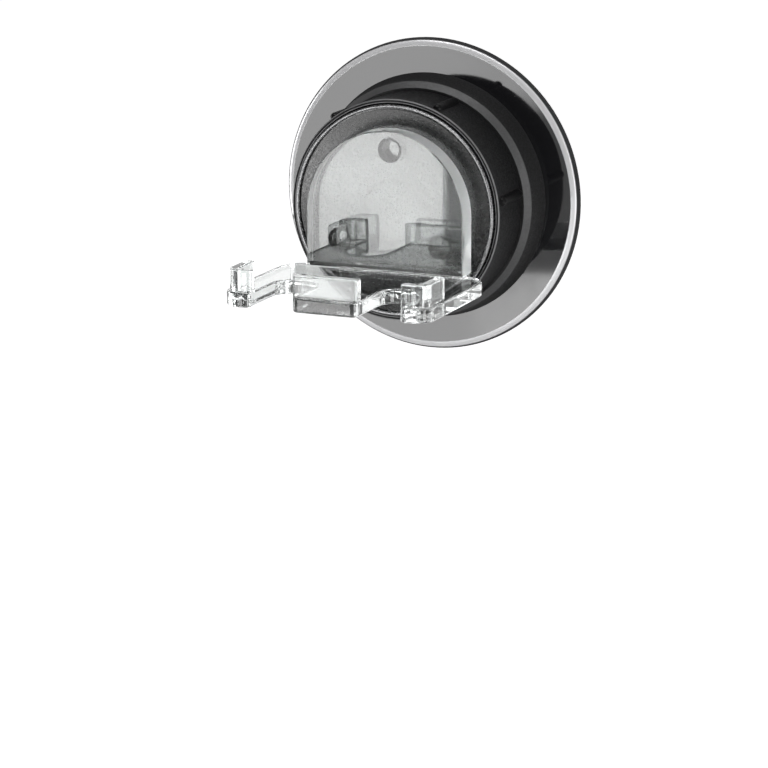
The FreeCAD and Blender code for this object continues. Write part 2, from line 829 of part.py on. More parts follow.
def rack_slots(body, tray_low, tray_top):
    """The two slots for the brush necks, open at the front, with rounded ends and entries."""
    slot_round = s.slot_width * HALF_SHARE
    slot_end = tray_front - s.slot_depth + slot_round
    sketch = new_sketch(body, "XZ_Plane", "slot_outline", offset=s.tray_drop - s.cut_overrun)
    draw_outline(sketch, [
        (slot_inner, slot_end),
        (slot_outer, slot_end),
        (slot_outer, tray_front + s.cut_overrun),
        (slot_inner, tray_front + s.cut_overrun),
    ], arcs={0: (slot_end, COUNTER_CLOCKWISE)})
    deep = s.tray_thickness + s.cut_overrun + s.cut_overrun
    slot = extruded(body, "slot", sketch, deep, "PartDesign::Pocket", reverse=True)
    slots = mirrored(body, "slots", [slot])
    entries = upright_edges(slots, [slot_inner, slot_outer], tray_front, tray_low, tray_top)
    rounded = eased(body, "slot_entries", entries, s.slot_lead_round)
    beyond_plate = plate_front + s.root_round
    rims = []
    for height in (tray_low, tray_top):
        rims += level_edges(rounded, height, beyond_plate, tray_front)
    eased(body, "tray_edges", rims, s.tray_edge_round)


def rack_lips(body, tray_top):
    """The upturned lips: one across the middle finger, and one round the front corner of each other."""
    front = tray_front - s.lip_setback
    back = front - s.lip_thickness
    end = front - s.lip_reach
    middle_rounds = dict.fromkeys(FRONT_CORNERS, s.lip_corner_round)
    outlines = {"middle_lip": rounded_box(-slot_inner, slot_inner, back, front, middle_rounds),
                "corner_lip": corner_lip_outline(front, back, end)}
    for name, outline in outlines.items():
        sketch = new_sketch(body, "XZ_Plane", f"{name}_outline", offset=s.tray_drop + s.tray_edge_round)
        draw_outline(sketch, *outline)
        lip = extruded(body, name, sketch, s.lip_height + s.tray_edge_round, reverse=True)
    lips = mirrored(body, "corner_lips", [lip])
    eased(body, "lip_tops", level_edges(lips, tray_top + s.lip_height, end, front), s.lip_top_round)


def corner_lip_outline(front, back, end):
    """The corners and arcs of the right lip, from its slot round the tray's corner and along its side."""
    turn = s.tray_corner - s.lip_setback
    side = tray_half_width - s.lip_setback
    inside = side - s.lip_thickness
    blunt = s.lip_corner_round
    corners = [
        (slot_outer, back),
        (side - turn, back),
        (inside, front - turn),
        (inside, end + blunt),
        (inside + blunt, end),
        (side - blunt, end),
        (side, end + blunt),
        (side, front - turn),
        (side - turn, front),
        (slot_outer + blunt, front),
        (slot_outer, front - blunt),
    ]
    arcs = {
        1: (side - turn, CLOCKWISE),
        3: (inside + blunt, COUNTER_CLOCKWISE),
        5: (side - blunt, COUNTER_CLOCKWISE),
        7: (side - turn, COUNTER_CLOCKWISE),
        9: (slot_outer + blunt, COUNTER_CLOCKWISE),
    }
    return corners, arcs


def check_document(bodies):
    """Stop if any feature failed, any cut removed nothing or any piece isn't a valid solid."""
    doc.recompute()
    for item in doc.Objects:
        if "Invalid" in item.State or "Error" in item.State:
            raise RuntimeError(f"{item.Label} failed: {item.State}")
        if item.TypeId in ("PartDesign::Pocket", "PartDesign::Groove"):
            if item.Shape.Volume > item.BaseFeature.Shape.Volume - TOUCH:
                raise RuntimeError(f"{item.Label} cuts nothing")
    for body in bodies:
        if body.Shape.isNull() or not body.Shape.isValid() or not body.Shape.Solids:
            raise RuntimeError(f"{body.Label} is not a valid solid")


PIECES = [
    suction_pad, pad_post, pressure_disc, base_ring, ring_screws, slip_washer, twist_ring,
    drive_nut, front_cover, screw_washer, centre_screw, screw_cap, toothbrush_rack,
]

bodies = [make() for make in PIECES]
check_document(bodies)
os.makedirs("parts", exist_ok=True)
for body in bodies:
    body.Shape.exportStep(f"parts/{body.Label}.step")
    print(f"{body.Label}: {len(body.Shape.Solids)} solid, {body.Shape.Volume:.1f} mm3")
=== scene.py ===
import math

import bmesh
import bpy
from bpy.props import FloatProperty, FloatVectorProperty, IntProperty, PointerProperty
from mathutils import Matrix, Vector


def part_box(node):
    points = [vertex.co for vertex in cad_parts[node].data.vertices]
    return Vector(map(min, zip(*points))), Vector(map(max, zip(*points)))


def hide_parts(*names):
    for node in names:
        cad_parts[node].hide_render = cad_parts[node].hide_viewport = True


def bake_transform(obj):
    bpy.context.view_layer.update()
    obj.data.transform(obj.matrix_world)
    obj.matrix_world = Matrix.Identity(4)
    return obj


bl_info = {
    "name": "Suction Toothbrush Holder",
    "version": (1, 0, 0),
    "blender": (4, 5, 0),
    "location": "3D View > Sidebar > Holder",
    "description": "Gives a suction toothbrush holder its finishes and sets it in a studio",
    "category": "Object",
}

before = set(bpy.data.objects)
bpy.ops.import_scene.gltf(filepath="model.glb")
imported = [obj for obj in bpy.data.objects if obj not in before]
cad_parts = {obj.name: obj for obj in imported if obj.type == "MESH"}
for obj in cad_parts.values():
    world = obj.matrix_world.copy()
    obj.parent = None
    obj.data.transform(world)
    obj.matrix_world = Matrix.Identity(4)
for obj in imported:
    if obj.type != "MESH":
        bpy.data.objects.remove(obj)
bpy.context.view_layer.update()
PAD_LOW, PAD_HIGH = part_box("suction_pad")
_, POST_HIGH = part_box("pad_post")

# the camera's angles in degrees and its sensor in millimetres
CAMERA_TURN = 22.27
CAMERA_RISE = 10.41
SENSOR_WIDTH = 36.0
WHITE = (1.0, 1.0, 1.0, 1.0)


def length(name, description, default):
    return FloatProperty(name=name, description=description, default=default, subtype="DISTANCE",
                         unit="LENGTH", precision=5)


def number(name, description, default):
    return FloatProperty(name=name, description=description, default=default, min=0.0)


def colour(name, description, default):
    return FloatVectorProperty(name=name, description=description, default=default, size=4, min=0.0,
                               max=1.0, subtype="COLOR")


def angle(name, description, degrees):
    return FloatProperty(name=name, description=description, default=math.radians(degrees),
                         subtype="ANGLE", unit="ROTATION")


def count(name, description, default, least):
    return IntProperty(name=name, description=description, default=default, min=least)


class HolderPad(bpy.types.PropertyGroup):
    """The soft pad that holds to the wall."""

    colour: colour("Colour", "Colour of the soft pad", (0.014, 0.014, 0.015, 1.0))
    bloom: colour("Bloom", "Colour of the bloom and dust on the pad", (0.05, 0.05, 0.05, 1.0))
    rim: length("Rim", "Thickness of the flat foot under the disc", 0.0014)
    foot_radius: length("Foot radius", "Inner radius of the flat foot", 0.0212)
    crown_radius: length("Crown radius", "Radius of the raised middle", 0.015)
    skin: length("Skin", "Thickness of the soft cover over the post's flange", 0.0009)
    flange_radius: length("Flange radius", "Radius of the room for the post's flange", 0.01305)
    guide_radius: length("Guide radius", "Radius of the hole that the post comes out of", 0.00955)
    clearance: length("Clearance", "Gap between the pad and what it carries", 0.00002)
    edge_round: length("Edge round", "Rounding of the foot's outer edges", 0.0003)
    rib_count: count("Edge ribs", "Fine upright ribs round the edge", 216, 3)
    rib_depth: length("Rib depth", "Depth of the grooves between the edge ribs", 0.0003)
    steps_per_rib: count("Steps per rib", "Points round each rib", 4, 2)


class HolderBlacks(bpy.types.PropertyGroup):
    """The gloss disc and the textured mouldings."""

    gloss: colour("Gloss colour", "Colour of the gloss disc", (0.008, 0.008, 0.009, 1.0))
    gloss_dust: colour("Dust", "Colour of the dust on the gloss disc", (0.06, 0.06, 0.058, 1.0))
    gloss_refraction: number("Gloss IOR", "Refraction of the gloss disc", 1.5)
    # The disc's rim from here to the matt edge has a painted highlight: a light colour and some metal
    # make it read bright all round.
    highlight_rim_start: length("Rim start", "Distance from the axis where the disc's bright rim begins", 0.0341)
    rim_end: length("Rim end", "Distance from the axis where the matt edge begins", 0.0353)
    painted_rim_highlight: colour("Painted rim highlight", "Colour of the disc's bright rim", (0.6, 0.6, 0.61, 1.0))
    texture_dark: colour("Hollows", "Colour low in the fine texture", (0.002, 0.002, 0.0022, 1.0))
    texture_light: colour("Peaks", "Colour high in the fine texture", (0.009, 0.009, 0.0096, 1.0))
    # Painted highlight: a light colour laid on the edges where the lamps catch them.
    painted_edge_highlight: colour("Painted edge highlight", "Colour of edges rubbed to a shine", (0.16, 0.16, 0.163, 1.0))
    grain: length("Grain", "Size of one grain of the fine texture", 0.00028)
    grain_height: length("Grain height", "Height of the fine texture", 0.00003)
    dish_height: length("Dish height", "Height of the fine texture on the front cover", 0.000014)
    rib_start: length("Rib start", "Distance from the axis where the grip ribs begin", 0.02512)


class HolderRack(bpy.types.PropertyGroup):
    """The clear rack."""

    tint: colour("Tint", "Tint of the clear plastic", (0.83, 0.85, 0.845, 1.0))
    refraction: number("IOR", "Refraction of the clear plastic", 1.49)
    plate_half: length("Plate half width", "Half the width of the arched plate", 0.0188)
    plate_front: length("Plate front", "Distance from the wall where the satin sides end", 0.03005)
    tray_top: length("Tray top", "Height above which the satin sides begin", -0.0126)
    side_blend: length("Side blend", "How softly the plate's satin sides begin", 0.0001)


class HolderInside(bpy.types.PropertyGroup):
    """The hidden mechanism."""

    post: colour("Post colour", "Colour of the post", (0.045, 0.045, 0.05, 1.0))
    slip: colour("Slip colour", "Colour of the nut and the slip washer", (0.75, 0.74, 0.70, 1.0))
    steel: colour("Steel colour", "Colour of the screws", (0.60, 0.60, 0.60, 1.0))
    tarnish: colour("Tarnish", "Colour of the dull patches on the screws", (0.35, 0.34, 0.33, 1.0))


class HolderStudio(bpy.types.PropertyGroup):
    """The camera, the lights and the floor."""

    camera_distance: length("Camera distance", "Distance from the camera to the origin", 0.75)
    camera_turn: angle("Camera turn", "Turn of the camera to the right of straight on", CAMERA_TURN)
    camera_rise: angle("Camera rise", "Angle of the camera above level", CAMERA_RISE)
    camera_aim: FloatVectorProperty(
        name="Aim", description="Point in the middle of the picture", default=(-0.0128, 0.0, -0.04643),
        subtype="TRANSLATION", unit="LENGTH")
    lens: number("Lens", "Focal length in millimetres", 153.0)
    floor_height: length("Floor height", "Height of the floor", -0.35)
    floor_size: length("Floor size", "Width of the floor", 8.0)
    floor_colour: colour("Floor colour", "Colour of the floor", (0.9, 0.9, 0.9, 1.0))
    near_glow: number("Near glow", "How much whiter the floor is made under the object", 0.08)
    far_glow: number("Far glow", "How much whiter the floor is made far away", 0.88)
    glow_start: length("Glow start", "Distance where the floor starts to get whiter", 0.4)
    glow_end: length("Glow end", "Distance where the floor is white", 0.8)
    ambient: number("Ambient", "Light from all round", 0.15)
    dim_front: number("Dim front", "How bright the dim room in front shows in gloss", 0.08)
    light_bounces: count("Bounces", "Turns of light inside the clear rack", 24, 1)


# name, turn and rise in degrees, distance, left, right, low and high edges in metres, brightness.
# The front panels stand where the camera sees them in the flat disc.
SOFTBOXES = (
    ("front_left_softbox", -CAMERA_TURN, -CAMERA_RISE, 1.2, (-0.13, 0.027, -0.5, 0.13), 6.0),
    ("front_low_softbox", -CAMERA_TURN, -CAMERA_RISE, 1.2, (0.027, 0.45, -0.5, -0.047), 7.4),
    ("front_high_softbox", -CAMERA_TURN, -CAMERA_RISE, 1.2, (0.027, 0.2, 0.052, 0.13), 5.4),
    ("left_softbox", -85.0, -5.0, 1.1, (-0.22, 0.22, -0.45, 0.45), 6.0),
    ("right_softbox", 65.0, 5.0, 1.1, (-0.17, 0.17, -0.45, 0.45), 8.0),
    ("top_softbox", 0.0, 72.0, 1.0, (-0.45, 0.45, -0.15, 0.15), 10.0),
)


def add_node(tree, kind, inputs=None, **settings):
    """Add a node, set it up and feed its inputs with values or other nodes' outputs."""
    node = tree.nodes.new(kind)
    for key, value in settings.items():
        setattr(node, key, value)
    for name, value in (inputs or {}).items():
        feed(tree, node.inputs[name], value)
    return node


def feed(tree, socket, value):
    if isinstance(value, bpy.types.NodeSocket):
        tree.links.new(value, socket)
    else:
        socket.default_value = value


def calc(tree, operation, *values):
    node = add_node(tree, "ShaderNodeMath", operation=operation)
    for socket, value in zip(node.inputs, values):
        feed(tree, socket, value)
    return node.outputs[0]


def blend_value(tree, value, low, high, to_low, to_high):
    """Carry a value smoothly from one range to another."""
    node = add_node(tree, "ShaderNodeMapRange", {
        "Value": value, "From Min": low, "From Max": high, "To Min": to_low, "To Max": to_high,
    }, interpolation_type="SMOOTHSTEP")
    return node.outputs["Result"]


# the Mix node's sockets for colours
MIX_FACTOR, MIX_FIRST, MIX_SECOND, MIX_RESULT = 0, 6, 7, 2


def blend_colour(tree, factor, first, second):
    node = add_node(tree, "ShaderNodeMix", data_type="RGBA")
    feed(tree, node.inputs[MIX_FACTOR], factor)
    feed(tree, node.inputs[MIX_FIRST], first)
    feed(tree, node.inputs[MIX_SECOND], second)
    return node.outputs[MIX_RESULT]


NOISE_ROUGHNESS = 0.55


def noise(tree, place, scale, detail):
    node = add_node(tree, "ShaderNodeTexNoise", {
        "Vector": place, "Scale": scale, "Detail": detail, "Roughness": NOISE_ROUGHNESS,
    })
    return node.outputs["Fac"]


def new_group(name, inputs, outputs):
    """An empty shader node group with named number inputs and outputs."""
    group = bpy.data.node_groups.new(name, "ShaderNodeTree")
    for label, default in inputs.items():
        socket = group.interface.new_socket(label, in_out="INPUT", socket_type="NodeSocketFloat")
        socket.default_value = default
    for label in outputs:
        group.interface.new_socket(label, in_out="OUTPUT", socket_type="NodeSocketFloat")
    start = group.nodes.new("NodeGroupInput")
    end = group.nodes.new("NodeGroupOutput")
    return group, start.outputs, end.inputs


def place_of(tree):
    return add_node(tree, "ShaderNodeTexCoord").outputs["Object"]


def axis_place_group():
    """Distance from the base's axis, half width under an arch on that axis, depth and height."""
    group, _start, end = new_group("Axis Place", {}, ("Radius", "Arch", "Depth", "Height"))
    parts = add_node(group, "ShaderNodeSeparateXYZ", {"Vector": place_of(group)}).outputs
    across = calc(group, "MULTIPLY", parts["X"], parts["X"])
    above = calc(group, "MAXIMUM", parts["Z"], 0.0)
    for label, height in (("Radius", parts["Z"]), ("Arch", above)):
        square = calc(group, "ADD", across, calc(group, "MULTIPLY", height, height))
        feed(group, end[label], calc(group, "SQRT", square))
    feed(group, end["Depth"], calc(group, "MULTIPLY", parts["Y"], -1.0))
    feed(group, end["Height"], parts["Z"])
    return group


# fine grain: the coarse noise's scale, the two noises' shares and the heights that speckle spans
COARSE_SCALE = 0.4
FINE_SHARE, COARSE_SHARE = 0.7, 0.3
SPECKLE_LOW, SPECKLE_HIGH = 0.38, 0.64
# the noise that handled patches span, and where a speck of dust begins, less its cover, and is full
PATCH_LOW, PATCH_HIGH = 0.35, 0.68
SPECK_START, SPECK_FULL = 0.8, 0.86


def fine_grain_group():
    """The fine sand texture of a mould: its height and a speckle of light and dark grains."""
    group, start, end = new_group("Fine Grain", {"Grain": 0.0003}, ("Height", "Speckle"))
    place = place_of(group)
    per_metre = calc(group, "DIVIDE", 1.0, start["Grain"])
    fine = noise(group, place, per_metre, detail=2.0)
    coarse = noise(group, place, calc(group, "MULTIPLY", per_metre, COARSE_SCALE), detail=1.0)
    height = calc(group, "ADD", calc(group, "MULTIPLY", fine, FINE_SHARE),
                  calc(group, "MULTIPLY", coarse, COARSE_SHARE))
    feed(group, end["Height"], height)
    feed(group, end["Speckle"], blend_value(group, height, SPECKLE_LOW, SPECKLE_HIGH, 0.0, 1.0))
    return group


def handling_group():
    """Wiped and touched patches of a smooth surface, between two values."""
    group, start, end = new_group("Handling", {"Patch": 0.01, "Low": 0.0, "High": 1.0}, ("Value",))
    place = place_of(group)
    per_metre = calc(group, "DIVIDE", 1.0, start["Patch"])
    patches = noise(group, place, per_metre, detail=3.0)
    feed(group, end["Value"],
         blend_value(group, patches, PATCH_LOW, PATCH_HIGH, start["Low"], start["High"]))
    return group


def dust_group():
    """Sparse specks of dust."""
    group, start, end = new_group("Dust", {"Speck": 0.0004, "Cover": 0.1}, ("Mask",))
    place = place_of(group)
    per_metre = calc(group, "DIVIDE", 1.0, start["Speck"])
    specks = noise(group, place, per_metre, detail=1.0)
    threshold = calc(group, "SUBTRACT", SPECK_START, start["Cover"])
    feed(group, end["Mask"], blend_value(group, specks, threshold, SPECK_FULL, 0.0, 1.0))
    return group


GROUPS = {
    "Axis Place": axis_place_group,
    "Fine Grain": fine_grain_group,
    "Handling": handling_group,
    "Dust": dust_group,
}


def use_group(tree, name, **values):
    """Place a shared node group, made on first use, in a material with the material's own values."""
    group = bpy.data.node_groups.get(name) or GROUPS[name]()
    node = add_node(tree, "ShaderNodeGroup", node_tree=group)
    for label, value in values.items():
        feed(tree, node.inputs[label], value)
    return node.outputs


def handled(tree, patch, low, high):
    """A value that changes over handled patches of this size."""
    return use_group(tree, "Handling", Patch=patch, Low=low, High=high)["Value"]


def bump(tree, height, depth):
    node = add_node(tree, "ShaderNodeBump", {"Height": height, "Distance": depth, "Strength": 1.0})
    return node.outputs["Normal"]


def new_material(name):
    """A material with only a Principled shader and its output."""
    material = bpy.data.materials.new(name)
    material.use_nodes = True
    tree = material.node_tree
    return material, tree, tree.nodes["Principled BSDF"]


def give(node, material):
    """Show a CAD node in a material."""
    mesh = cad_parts[node].data
    mesh.materials.clear()
    mesh.materials.append(material)


# the gloss disc's rim, which carries a painted highlight: how softly it begins, its share of metal, and
# how much rougher it and the edge are
RIM_BLEND = 0.0003
RIM_HIGHLIGHT_METAL = 0.3
RIM_ROUGHER = 0.2
EDGE_ROUGHER = 0.85


def gloss_black(settings):
    """High-gloss black with a little dust, and a painted highlight, light and softer, on the rounded rim.
    """
    material, tree, shader = new_material("gloss_black")
    shader.inputs["IOR"].default_value = settings.gloss_refraction
    radius = use_group(tree, "Axis Place")["Radius"]
    outside = blend_value(tree, radius, settings.highlight_rim_start, settings.highlight_rim_start + RIM_BLEND, 0.0, 1.0)
    edge = blend_value(tree, radius, settings.rim_end, settings.rim_end + RIM_BLEND, 0.0, 1.0)
    rim = calc(tree, "SUBTRACT", outside, edge)
    specks = use_group(tree, "Dust", Speck=0.00045, Cover=0.02)["Mask"]
    dusty = blend_colour(tree, specks, settings.gloss, settings.gloss_dust)
    # painted highlight: the rim band gets a light colour, and below a share of metal
    feed(tree, shader.inputs["Base Color"], blend_colour(tree, rim, dusty, settings.painted_rim_highlight))
    feed(tree, shader.inputs["Metallic"], calc(tree, "MULTIPLY", rim, RIM_HIGHLIGHT_METAL))
    wiped = handled(tree, patch=0.012, low=0.035, high=0.075)
    rougher = calc(tree, "ADD", calc(tree, "MULTIPLY", rim, RIM_ROUGHER),
                   calc(tree, "MULTIPLY", edge, EDGE_ROUGHER))
    feed(tree, shader.inputs["Roughness"], calc(tree, "ADD", wiped, rougher))
    return material


# edges with a painted highlight: inner and outer distance from the axis, least distance from the wall,
# strength of the highlight.
# Where the strength is at least the full one, the edge has all of the highlight colour.
PAINTED_HIGHLIGHT_EDGES = {
    "base_ring": ((0.0255, 0.0271, 0.0089, 0.12),),
    "twist_ring": ((0.02410, 0.02440, 0.0236, 0.8), (0.02470, 0.02510, 0.0236, 0.8)),
    "front_cover": ((0.02295, 0.02395, 0.0242, 0.85),),
}
HIGHLIGHT_BLEND = 0.0001
FULL_HIGHLIGHT = 0.4


def painted_highlight_mask(tree, edges):
    """The share of painted highlight on the edges that catch the light."""
    place = use_group(tree, "Axis Place")
    masks = []
    for inner, outer, back, shine in edges:
        past_inner = blend_value(tree, place["Radius"], inner, inner + HIGHLIGHT_BLEND, 0.0, shine)
        past_outer = blend_value(tree, place["Radius"], outer - HIGHLIGHT_BLEND, outer, 0.0, shine)
        in_front = blend_value(tree, place["Depth"], back, back + HIGHLIGHT_BLEND, 0.0, 1.0)
        band = calc(tree, "SUBTRACT", past_inner, past_outer)
        masks.append(calc(tree, "MULTIPLY", band, in_front))
    total = masks[0]
    for mask in masks[1:]:
        total = calc(tree, "ADD", total, mask)
    return total


# roughness and sheen of each textured moulding
TEXTURED_FINISHES = {
    "base_ring": (0.5, 0.4),
    "twist_ring": (0.5, 0.12),
    "front_cover": (0.24, 0.85),
}
HOLLOW_ROUGHER = 0.08
PEAK_SMOOTHER = 0.06
# the grip ribs: how softly they begin, and how much smoother and flatter they are
RIB_BLEND = 0.0001
RIB_SMOOTHER = 0.14
RIB_FLATTER = 0.8


def textured_black(settings, node, height, smooth_ribs=False):
    """Fine sand texture, with the grip ribs left smooth and a painted highlight on the edges."""
    roughness, sheen = TEXTURED_FINISHES[node]
    material, tree, shader = new_material(node + "_black")
    shader.inputs["Specular IOR Level"].default_value = sheen
    grain = use_group(tree, "Fine Grain", Grain=settings.grain)
    surface = blend_colour(tree, grain["Speckle"], settings.texture_dark, settings.texture_light)
    rough = blend_value(tree, grain["Speckle"], 0.0, 1.0, roughness + HOLLOW_ROUGHER,
                        roughness - PEAK_SMOOTHER)
    relief = grain["Height"]
    if smooth_ribs:
        radius = use_group(tree, "Axis Place")["Radius"]
        rib = blend_value(tree, radius, settings.rib_start, settings.rib_start + RIB_BLEND, 0.0, 1.0)
        surface = blend_colour(tree, rib, surface, settings.texture_dark)
        rough = calc(tree, "SUBTRACT", rough, calc(tree, "MULTIPLY", rib, RIB_SMOOTHER))
        kept = calc(tree, "SUBTRACT", 1.0, calc(tree, "MULTIPLY", rib, RIB_FLATTER))
        relief = calc(tree, "MULTIPLY", relief, kept)
    # painted highlight: the edges that catch the light get a light colour and metal by this mask
    shine = painted_highlight_mask(tree, PAINTED_HIGHLIGHT_EDGES[node])
    highlighted = blend_value(tree, shine, 0.0, FULL_HIGHLIGHT, 0.0, 1.0)
    feed(tree, shader.inputs["Base Color"], blend_colour(tree, highlighted, surface, settings.painted_edge_highlight))
    feed(tree, shader.inputs["Metallic"], shine)
    feed(tree, shader.inputs["Roughness"], rough)
    feed(tree, shader.inputs["Normal"], bump(tree, relief, height))
    return material


def clear_plastic(settings):
    """Polished clear plastic, with satin sides on the arched plate."""
    material, tree, shader = new_material("clear_plastic")
    shader.inputs["Base Color"].default_value = settings.tint
    shader.inputs["IOR"].default_value = settings.refraction
    shader.inputs["Transmission Weight"].default_value = 1.0
    wiped = handled(tree, patch=0.009, low=0.005, high=0.03)
    place = use_group(tree, "Axis Place")
    blend = settings.side_blend
    half, front, low = settings.plate_half, settings.plate_front, settings.tray_top
    side = blend_value(tree, place["Arch"], half - 2 * blend, half - blend, 0.0, 1.0)
    near = blend_value(tree, place["Depth"], front, front + blend, 1.0, 0.0)
    above = blend_value(tree, place["Height"], low, low + 4 * blend, 0.0, 1.0)
    satin = calc(tree, "MULTIPLY", side, calc(tree, "MULTIPLY", near, above))
    grain = handled(tree, patch=0.0012, low=0.3, high=0.42)
    rough = calc(tree, "ADD", wiped, calc(tree, "MULTIPLY", satin, grain))
    feed(tree, shader.inputs["Roughness"], rough)
    return material


def soft_black(settings):
    """Soft black plastic with a pale bloom and dust."""
    material, tree, shader = new_material("soft_black")
    bloom = handled(tree, patch=0.004, low=0.0, high=0.14)
    dust = use_group(tree, "Dust", Speck=0.0004, Cover=0.08)["Mask"]
    pale = calc(tree, "MAXIMUM", bloom, dust)
    feed(tree, shader.inputs["Base Color"], blend_colour(tree, pale, settings.colour, settings.bloom))
    feed(tree, shader.inputs["Roughness"], handled(tree, patch=0.006, low=0.42, high=0.62))
    grain = use_group(tree, "Fine Grain", Grain=0.0004)["Height"]
    feed(tree, shader.inputs["Normal"], bump(tree, grain, depth=0.00001))
    return material


# plain mouldings: the share of colour left in flow marks, and how far the roughness varies
FLOW_SHARE = 0.7
ROUGHNESS_SPREAD = 0.15


def plain_moulding(name, base, roughness):
    """Unpolished plastic of the hidden pieces, with faint flow marks."""
    material, tree, shader = new_material(name)
    flow = handled(tree, patch=0.003, low=0.0, high=0.35)
    darker = (base[0] * FLOW_SHARE, base[1] * FLOW_SHARE, base[2] * FLOW_SHARE, 1.0)
    feed(tree, shader.inputs["Base Color"], blend_colour(tree, flow, base, darker))
    feed(tree, shader.inputs["Roughness"],
         handled(tree, patch=0.002, low=roughness, high=roughness + ROUGHNESS_SPREAD))
    grain = use_group(tree, "Fine Grain", Grain=0.0002)["Height"]
    feed(tree, shader.inputs["Normal"], bump(tree, grain, depth=0.000008))
    return material


def plated_steel(settings):
    """Plated steel with dull patches."""
    material, tree, shader = new_material("plated_steel")
    shader.inputs["Metallic"].default_value = 1.0
    dull = handled(tree, patch=0.002, low=0.0, high=0.5)
    feed(tree, shader.inputs["Base Color"], blend_colour(tree, dull, settings.steel, settings.tarnish))
    feed(tree, shader.inputs["Roughness"], handled(tree, patch=0.001, low=0.22, high=0.4))
    grain = use_group(tree, "Fine Grain", Grain=0.0003)["Height"]
    feed(tree, shader.inputs["Normal"], bump(tree, grain, depth=0.000004))
    return material


# the pad: the share of its slope that bends at each end, the foot's bend in edge rounds, and the
# angle in degrees from which an edge is sharp
SLOPE_SHARE = 0.25
FOOT_BEND = 1.5
SHARP_ANGLE = 40


def pad_profile(pad):
    """The pad's section as (distance from axis, distance from wall, is on the ribbed edge)."""
    outer = PAD_HIGH.x
    under = -POST_HIGH.y - pad.skin
    crown = -PAD_LOW.y
    flange_low = -POST_HIGH.y - pad.clearance
    flange_top = crown - pad.skin + pad.clearance
    top = pad.rim - pad.clearance
    bend = pad.edge_round
    slope = (pad.foot_radius - pad.crown_radius) * SLOPE_SHARE
    return [
        (0.0, under, False),
        (pad.crown_radius - slope, under, False),
        (pad.crown_radius, under - bend, False),
        (pad.foot_radius - slope, bend * FOOT_BEND, False),
        (pad.foot_radius, 0.0, False),
        (outer - bend * 2, 0.0, False),
        (outer - bend, 0.0, False),
        (outer, bend, True),
        (outer, top - bend, True),
        (outer - bend, top, False),
        (pad.foot_radius, top, False),
        (pad.foot_radius - slope, top + bend, False),
        (pad.crown_radius, crown - bend, False),
        (pad.crown_radius - slope, crown, False),
        (pad.guide_radius, crown, False),
        (pad.guide_radius, flange_top, False),
        (pad.flange_radius, flange_top, False),
        (pad.flange_radius, flange_low, False),
        (0.0, flange_low, False),
    ]


def pad_mesh(pad):
    """The pad turned about the axis, with fine ribs round its edge."""
    mesh = bpy.data.meshes.new("suction_pad_soft")
    work = bmesh.new()
    steps = pad.rib_count * pad.steps_per_rib
    rings = []
    for radius, depth, ribbed in pad_profile(pad):
        if radius == 0.0:
            rings.append([work.verts.new((0.0, -depth, 0.0))])
            continue
        ring = []
        for step in range(steps):
            turn = 2 * math.pi * step / steps
            groove = 0.5 - 0.5 * math.cos(pad.rib_count * turn)
            reach = radius - pad.rib_depth * groove if ribbed else radius
            ring.append(work.verts.new((reach * math.cos(turn), -depth, reach * math.sin(turn))))
        rings.append(ring)
    for near, far in zip(rings, rings[1:]):
        for step in range(steps):
            following = (step + 1) % steps
            corners = [near[step % len(near)], far[step % len(far)],
                       far[following % len(far)], near[following % len(near)]]
            work.faces.new(list(dict.fromkeys(corners)))
    bmesh.ops.recalc_face_normals(work, faces=work.faces)
    work.to_mesh(mesh)
    work.free()
    mesh.shade_smooth()
    mesh.set_sharp_from_angle(angle=math.radians(SHARP_ANGLE))
    return mesh


class HOLDER_OT_suction_pad(bpy.types.Operator):
    """Model the soft pad with its ribbed edge, in place of its plain solid"""

    bl_idname = "holder.suction_pad"
    bl_label = "Suction Pad"

    def execute(self, context):
        pad = context.scene.holder_pad
        piece = bpy.data.objects.new("suction_pad_soft", pad_mesh(pad))
        context.scene.collection.objects.link(piece)
        piece.data.materials.append(soft_black(pad))
        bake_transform(piece)
        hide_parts("suction_pad")
        return {"FINISHED"}


class HOLDER_OT_gloss_disc(bpy.types.Operator):
    """Polish the pressure disc"""

    bl_idname = "holder.gloss_disc"
    bl_label = "Gloss Disc"

    def execute(self, context):
        give("pressure_disc", gloss_black(context.scene.holder_blacks))
        return {"FINISHED"}


class HOLDER_OT_textured_shells(bpy.types.Operator):
    """Texture the base ring, twist ring, front cover and screw cap"""

    bl_idname = "holder.textured_shells"
    bl_label = "Textured Shells"

    def execute(self, context):
        blacks = context.scene.holder_blacks
        give("base_ring", textured_black(blacks, "base_ring", blacks.grain_height))
        give("twist_ring", textured_black(blacks, "twist_ring", blacks.grain_height, smooth_ribs=True))
        cover = textured_black(blacks, "front_cover", blacks.dish_height)
        give("front_cover", cover)
        give("screw_cap", cover)
        return {"FINISHED"}


class HOLDER_OT_clear_rack(bpy.types.Operator):
    """Make the rack of clear plastic"""

    bl_idname = "holder.clear_rack"
    bl_label = "Clear Rack"

    def execute(self, context):
        give("toothbrush_rack", clear_plastic(context.scene.holder_rack))
        return {"FINISHED"}


class HOLDER_OT_mechanism(bpy.types.Operator):
    """Finish the hidden post, nut, washers and screws"""

    bl_idname = "holder.mechanism"
    bl_label = "Mechanism"

    def execute(self, context):
        inside = context.scene.holder_inside
        give("pad_post", plain_moulding("post_plastic", tuple(inside.post), 0.4))
        slip = plain_moulding("slip_plastic", tuple(inside.slip), 0.35)
        give("drive_nut", slip)
        give("slip_washer", slip)
        steel = plated_steel(inside)
        for node in ("ring_screws", "centre_screw", "screw_washer"):
            give(node, steel)
        return {"FINISHED"}


def around(turn, rise, distance):
    """A place round the object: turn to the right of straight on, rise above level."""
    level = math.cos(rise)
    return distance * Vector((math.sin(turn) * level, -math.cos(turn) * level, math.sin(rise)))


